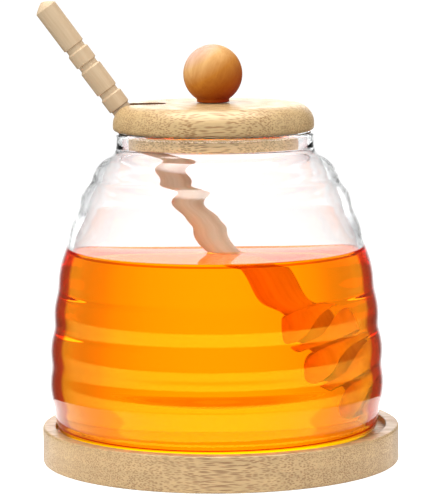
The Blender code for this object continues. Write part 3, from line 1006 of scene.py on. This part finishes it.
class HONEYPOT_OT_stage(Operator):
    """Make the floor, the light and the camera"""

    bl_idname = "honeypot.stage"
    bl_label = "Stage"

    def execute(self, context):
        stage = context.scene.honeypot_stage
        self.make_floor()
        self.make_surround(context.scene, stage.sky)
        area_light("key_light", (-0.55, -0.45, 1.05), (0.0, 0.0, 0.07), 0.55, stage.key_power)
        self.make_camera(context.scene, stage)
        context.scene.view_settings.view_transform = "Standard"
        context.scene.cycles.max_bounces = BOUNCES
        context.scene.cycles.transmission_bounces = BOUNCES
        return {"FINISHED"}

    def make_floor(self):
        """A round floor: a middle point and two level rings of points, a hair under the tray."""
        count = 96
        angles = np.linspace(0.0, 2.0 * math.pi, count, endpoint=False)
        ring = np.column_stack((np.cos(angles), np.sin(angles), np.zeros(count)))
        vertices = np.vstack((np.zeros((1, 3)), 0.5 * FLOOR_RADIUS * ring, FLOOR_RADIUS * ring))
        vertices[:, 2] = -0.2 * MM
        index = 1 + np.arange(2 * count).reshape(2, count)
        following = np.roll(index, -1, axis=1)
        inner = np.stack((np.zeros(count, int), index[0], following[0]), axis=-1).tolist()
        outer = np.stack((index[0], index[1], following[1], following[0]), axis=-1).tolist()
        floor = mesh_object("floor", vertices, inner + outer)

        material, tree, shader = new_material("pale_floor")
        path = add(tree, "ShaderNodeLightPath").outputs
        in_front = maths(tree, "LESS_THAN", parts(tree, object_place(tree))["Y"], -0.9 * TRAY_RADIUS)
        card = mixed(tree, in_front, FLOOR_BEHIND, FLOOR_AHEAD)
        for depth, most in WANDERED_AFTER:
            card = mixed(tree, maths(tree, "GREATER_THAN", path[depth], most), card, FLOOR_TRAPPED)
        glow = mixed(tree, path["Is Reflection Ray"], FLOOR_STRAIGHT, FLOOR_MIRRORED)
        glow = mixed(tree, path["Is Transmission Ray"], glow, card)
        glow = mixed(tree, path["Is Diffuse Ray"], glow, 0.0)
        feed(tree, shader, Base_Color=(0.90, 0.90, 0.895), Roughness=0.7, Specular_IOR_Level=0.1,
             Emission_Color=1.0, Emission_Strength=glow)
        floor.data.materials.append(material)

    def make_surround(self, scene, brightness):
        """A white studio, told apart by the way its light is seen.

        Seen straight, it is plain white. Seen through or off the glass, it is a
        bright backdrop behind the pot that falls off to the sides and the front,
        so that the ribs and edges of the honey read. For the shading of the wood it
        is a soft sky, stronger where it comes in through the glass.
        """
        world = bpy.data.worlds.new("studio")
        world.use_nodes = True
        scene.world = world
        tree = world.node_tree
        path = add(tree, "ShaderNodeLightPath").outputs
        direction = add(tree, "ShaderNodeTexCoord").outputs["Generated"]
        level = maths(tree, "MULTIPLY", direction, (1.0, 1.0, 0.0), kind="ShaderNodeVectorMath")
        heading = maths(tree, "NORMALIZE", level, kind="ShaderNodeVectorMath")
        rise = as_share(tree, parts(tree, direction)["Z"])
        facing_back = as_share(tree, parts(tree, heading)["Y"])

        # The surfaces crossed, as tenths: none outside, four through glass, more through honey.
        crossings = maths(tree, "MULTIPLY", path["Transmission Depth"], 0.1)
        outside = ramp(tree, crossings, (0.0, 1.0), (0.04, 1.0), (0.06, 0.0))
        through_honey = mask(tree, crossings, 0.54, 0.56)
        trapped = ramp(tree, crossings, (0.0, 1.0), (0.64, 1.0), (0.66, 0.2))
        off_honey = mask(tree, crossings, 0.34, 0.36, 0.44, 0.46)
        off_surface = maths(tree, "GREATER_THAN", path["Glossy Depth"], 0.5)

        through = self.seen_through(tree, facing_back, rise, through_honey, trapped, off_surface)
        above = mask(tree, rise, 0.495, 0.51, 0.60, 0.62)
        ahead = mask(tree, facing_back, 0.85, 0.93)
        sheen_share = product(tree, above, ahead, off_honey, off_surface)
        through = mixed(tree, sheen_share, through, SURFACE_SHEEN)
        mirrored = product(tree, self.mirrored(tree, facing_back, rise), outside)
        seen_in_glass = mixed(tree, path["Is Reflection Ray"], through, mirrored)

        sky = ramp(tree, rise, (0.0, 0.30), (0.42, 0.50), (0.50, 1.15), (0.62, 1.20),
                   (0.78, 1.65), (0.90, 1.35), (1.0, 0.85))
        boost = ramp(tree, crossings, (0.0, 1.0), (0.14, 1.0), (0.15, AIR_BOOST), (0.44, AIR_BOOST),
                     (0.45, HONEY_BOOST), (0.74, HONEY_BOOST), (0.76, DEEP_BOOST))
        lights_wood = maths(tree, "GREATER_THAN", path["Diffuse Depth"], 0.5)
        sampled = mixed(tree, path["Is Reflection Ray"], outside, 0.0)
        shades_wood = mixed(tree, lights_wood, sampled, 1.0)
        lit = mixed(tree, shades_wood, seen_in_glass, product(tree, sky, boost))
        feed(tree, tree.nodes["Background"], Strength=brightness,
             Color=mixed(tree, path["Is Camera Ray"], lit, 1.0))

    def seen_through(self, tree, facing_back, rise, through_honey, trapped, off_surface):
        """The backdrop through glass and honey, with the front card where a ray met a surface."""
        behind_glass = ramp(tree, facing_back, (0.0, 0.25), (0.30, 0.35), (0.50, 0.60),
                            (0.78, 0.92), (0.90, 1.02), (0.97, 1.10), (1.0, 1.12))
        behind_honey = ramp(tree, facing_back, (0.0, 0.50), (0.45, 0.50), (0.63, 0.52),
                            (0.735, 0.60), (0.78, 0.92), (0.835, 0.94), (0.883, 0.88),
                            (0.925, 1.0), (0.9635, 1.50), (0.992, 2.05), (1.0, 2.24))
        backdrop = product(tree, mixed(tree, through_honey, behind_glass, behind_honey), trapped)
        card_heading = ramp(tree, facing_back, (0.0, 1.0), (0.35, 1.0), (0.60, 0.70),
                            (0.76, 0.45), (0.86, 0.0))
        card_height = mask(tree, rise, 0.32, 0.35, 0.447, 0.465)
        card = product(tree, card_heading, card_height, off_surface, trapped, trapped, FRONT_CARD)
        return mixed(tree, 1.0, backdrop, card, "ADD")

    def mirrored(self, tree, facing_back, rise):
        """What the glass mirrors: little but the backdrop's edge, a high band and a card overhead."""
        low_mirror = ramp(tree, facing_back, (0.0, 0.03), (0.92, 0.04),
                          (0.96, 0.16), (0.98, 0.9), (1.0, 1.2))
        high_mirror = ramp(tree, facing_back, (0.0, 0.03), (0.92, 0.04),
                           (0.965, 0.4), (0.99, 2.2), (1.0, 2.6))
        high = mask(tree, rise, 0.505, 0.54, 0.66, 0.72)
        overhead = mask(tree, rise, 0.91, 0.95)
        return mixed(tree, overhead, mixed(tree, high, low_mirror, high_mirror), OVERHEAD_CARD)

    def make_camera(self, scene, stage):
        """Looks along +Y from the front, a little down, turned by the roll."""
        data = bpy.data.cameras.new("camera")
        data.lens = stage.lens
        data.sensor_width = 36.0
        camera = bpy.data.objects.new("camera", data)
        scene.collection.objects.link(camera)
        place = Vector((0.0, -stage.camera_distance, stage.camera_height))
        aim = Vector((stage.aim_side, 0.0, stage.aim_height))
        turn = (aim - place).to_track_quat("-Z", "Y").to_matrix().to_4x4()
        camera.matrix_world = Matrix.Translation(place) @ turn @ Matrix.Rotation(stage.roll, 4, "Z")
        scene.camera = camera


class HONEYPOT_PT_panel(Panel):
    """Lists the pot's pieces, sizes and colours"""

    bl_label = "Honey Pot"
    bl_idname = "HONEYPOT_PT_panel"
    bl_space_type = "VIEW_3D"
    bl_region_type = "UI"
    bl_category = "Honey Pot"

    def draw(self, context):
        layout = self.layout
        for operator in PIECES:
            layout.operator(operator.bl_idname)
        for name, group in GROUPS.items():
            box = layout.box()
            for field in group.__annotations__:
                box.prop(getattr(context.scene, name), field)


PIECES = (HONEYPOT_OT_tray, HONEYPOT_OT_jar, HONEYPOT_OT_honey, HONEYPOT_OT_lid,
          HONEYPOT_OT_dipper, HONEYPOT_OT_stage)
GROUPS = {"honeypot_sizes": HoneyPotSizes, "honeypot_colours": HoneyPotColours,
          "honeypot_stage": HoneyPotStage}
CLASSES = (*GROUPS.values(), *PIECES, HONEYPOT_PT_panel)


def register():
    for cls in CLASSES:
        bpy.utils.register_class(cls)
    for name, group in GROUPS.items():
        setattr(bpy.types.Scene, name, PointerProperty(type=group))


def unregister():
    for name in GROUPS:
        delattr(bpy.types.Scene, name)
    for cls in reversed(CLASSES):
        bpy.utils.unregister_class(cls)


def main():
    register()
    bpy.ops.honeypot.stage()
    bpy.ops.honeypot.tray()
    bpy.ops.honeypot.jar()
    bpy.ops.honeypot.honey()
    bpy.ops.honeypot.lid()
    bpy.ops.honeypot.dipper()


if __name__ == "__main__":
    main()
